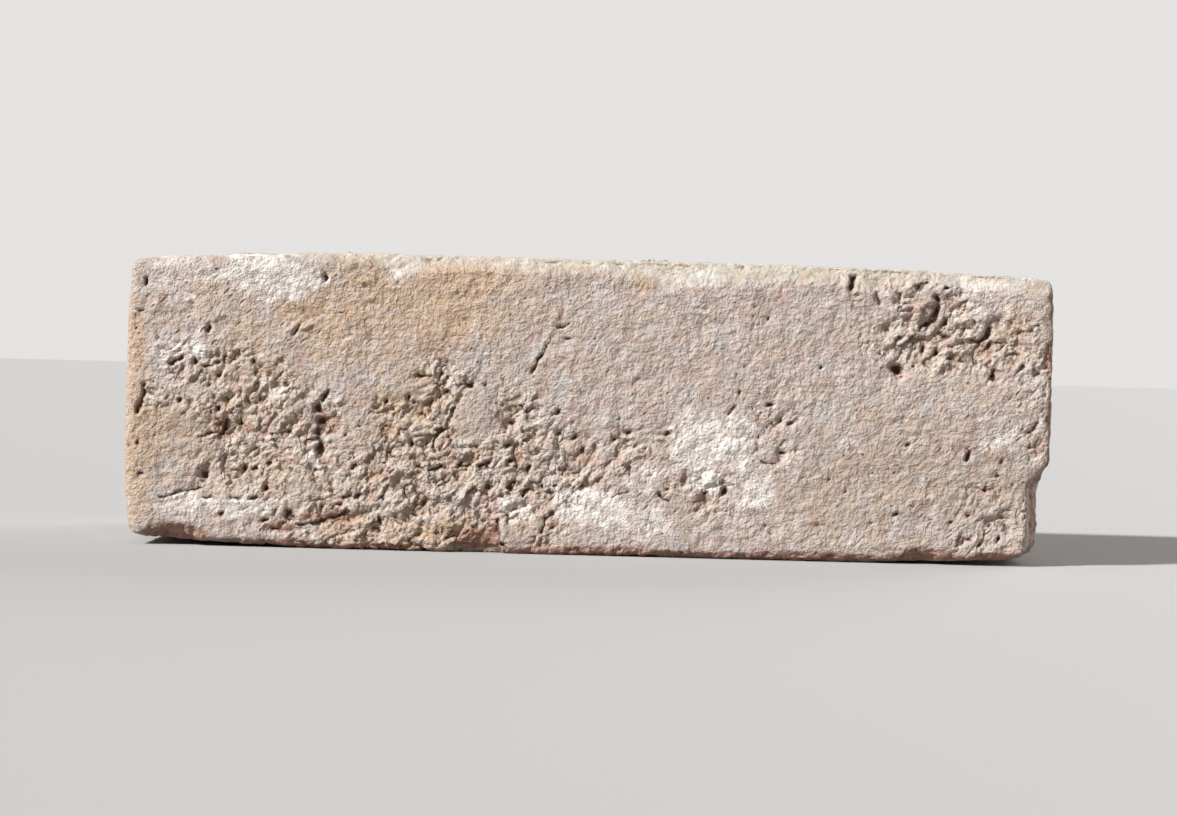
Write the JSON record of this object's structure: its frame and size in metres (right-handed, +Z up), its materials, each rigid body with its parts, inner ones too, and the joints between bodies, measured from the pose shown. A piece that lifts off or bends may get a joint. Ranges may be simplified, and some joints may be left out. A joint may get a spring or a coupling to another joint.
{
  "type": "clay brick",
  "caption": "Pale soft-mud facing brick of fired clay, barrel-shaped, with worn arrises, a crumbled stretcher face and a broken corner, laid on its bed in mortar to build walls.",
  "frame": {"origin": "middle of the lower bed, at the bottom centre of the brick's box", "axes": "+X along the brick to the right head, +Y from the stretcher face to the back, +Z up through the upper bed"},
  "size_m": [0.21, 0.1, 0.067],
  "materials": {
    "fired_clay": "matte"
  },
  "bodies": {
    "root": {"clay_brick": "fired_clay"}
  },
  "joints": []
}
